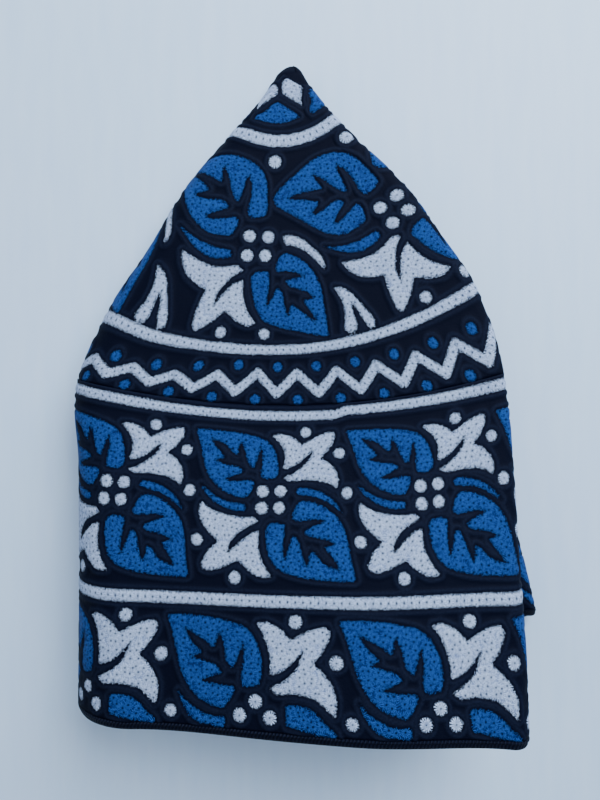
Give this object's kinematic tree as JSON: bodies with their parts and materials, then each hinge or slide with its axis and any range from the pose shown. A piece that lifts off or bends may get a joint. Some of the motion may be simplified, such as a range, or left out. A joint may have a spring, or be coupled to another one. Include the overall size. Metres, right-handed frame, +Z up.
{
  "type": "embroidered prayer cap",
  "caption": "Round embroidered cap with a flat crown, a side band and a bound hem, lying folded in quarters, open at the hem.",
  "frame": {"origin": "middle of the folded cap's footprint, on the surface that it lies on", "axes": "+Y from the open hem to the folded tip, +X to the side of the two single folds, +Z up"},
  "size_m": [0.121, 0.1644, 0.0369],
  "materials": {
    "crown_cloth": "navy cotton, closely embroidered in blue and white thread",
    "band_cloth": "navy cotton, closely embroidered in blue and white thread",
    "hem_binding": "navy binding thread, overcast along the edge"
  },
  "bodies": {
    "root": {"crown": "crown_cloth", "side_band": "band_cloth", "hem_edge": "hem_binding"}
  },
  "joints": []
}
